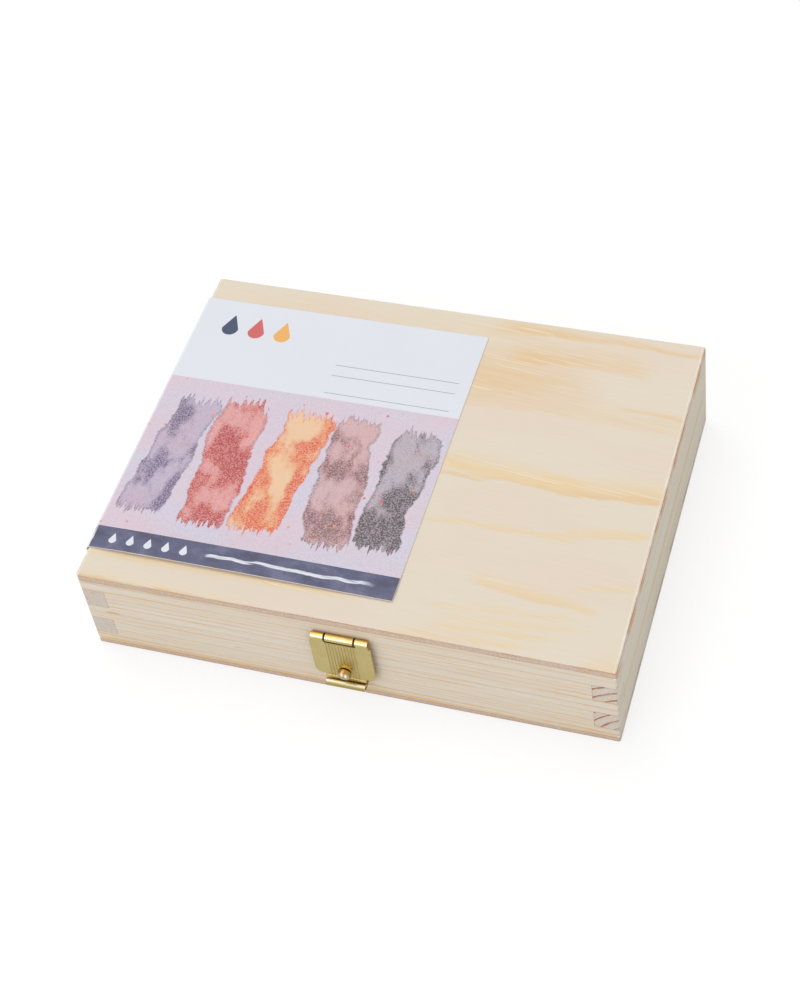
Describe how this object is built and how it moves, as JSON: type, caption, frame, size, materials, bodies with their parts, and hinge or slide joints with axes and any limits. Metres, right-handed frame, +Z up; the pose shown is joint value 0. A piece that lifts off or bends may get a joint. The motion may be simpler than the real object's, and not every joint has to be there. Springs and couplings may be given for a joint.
{
  "type": "watercolour paint box",
  "caption": "Low pine box with plywood top and bottom, hinged lid, brass hasp and catch, a folded card label, and paint tubes lying in divided bays.",
  "frame": {"origin": "middle of the underside of the bottom panel", "axes": "+X along the long side to the right, the hasp faces -Y, +Z up"},
  "size_m": [0.2012, 0.1629, 0.0428],
  "materials": {
    "plywood": "matte",
    "pine": "matte",
    "brass": "satin",
    "card": "satin",
    "tube_metal": "satin",
    "cap_plastic": "satin"
  },
  "bodies": {
    "base": {"bottom_panel": "plywood", "base_front_board": "pine", "base_back_board": "pine", "base_left_board": "pine", "base_right_board": "pine", "divider_1": "pine", "divider_2": "pine", "divider_3": "pine", "divider_4": "pine", "paint_tube_1": "tube_metal", "paint_tube_2": "tube_metal", "paint_tube_3": "tube_metal", "paint_tube_4": "tube_metal", "paint_tube_5": "tube_metal", "base_hinge_leaf_left": "brass", "base_hinge_leaf_right": "brass", "hinge_pin_left": "brass", "hinge_pin_right": "brass", "base_hinge_screws": "brass", "catch_plate": "brass", "catch_screws": "brass"},
    "lid": {"lid_panel": "plywood", "lid_front_board": "pine", "lid_back_board": "pine", "lid_left_board": "pine", "lid_right_board": "pine", "lid_hinge_leaf_left": "brass", "lid_hinge_leaf_right": "brass", "lid_hinge_screws": "brass", "latch_leaf": "brass", "latch_pin": "brass", "latch_screws": "brass", "label_card": "card"},
    "hasp": {"hasp_plate": "brass", "hasp_knob": "brass"},
    "cap_1": {"cap_1": "cap_plastic"},
    "cap_2": {"cap_2": "cap_plastic"},
    "cap_3": {"cap_3": "cap_plastic"},
    "cap_4": {"cap_4": "cap_plastic"},
    "cap_5": {"cap_5": "cap_plastic"}
  },
  "joints": [
    {"name": "lid_open", "type": "hinge", "parent": "base", "child": "lid", "pos_m": [0, 0.0784, 0.02], "axis": [-1, 0, 0], "range_deg": [0, 155]},
    {"name": "hasp_swing", "type": "hinge", "parent": "lid", "child": "hasp", "pos_m": [0.0006, -0.0781, 0.0342], "axis": [-1, 0, 0], "range_deg": [0, 175]},
    {"name": "cap_1_turn", "type": "hinge", "parent": "base", "child": "cap_1", "pos_m": [-0.074, -0.059, 0.0137], "axis": [0, -1, 0], "range_deg": [0, 720]},
    {"name": "cap_2_turn", "type": "hinge", "parent": "base", "child": "cap_2", "pos_m": [-0.037, -0.059, 0.0137], "axis": [0, -1, 0], "range_deg": [0, 720]},
    {"name": "cap_3_turn", "type": "hinge", "parent": "base", "child": "cap_3", "pos_m": [0, -0.059, 0.0137], "axis": [0, -1, 0], "range_deg": [0, 720]},
    {"name": "cap_4_turn", "type": "hinge", "parent": "base", "child": "cap_4", "pos_m": [0.037, -0.059, 0.0137], "axis": [0, -1, 0], "range_deg": [0, 720]},
    {"name": "cap_5_turn", "type": "hinge", "parent": "base", "child": "cap_5", "pos_m": [0.074, -0.059, 0.0137], "axis": [0, -1, 0], "range_deg": [0, 720]}
  ]
}
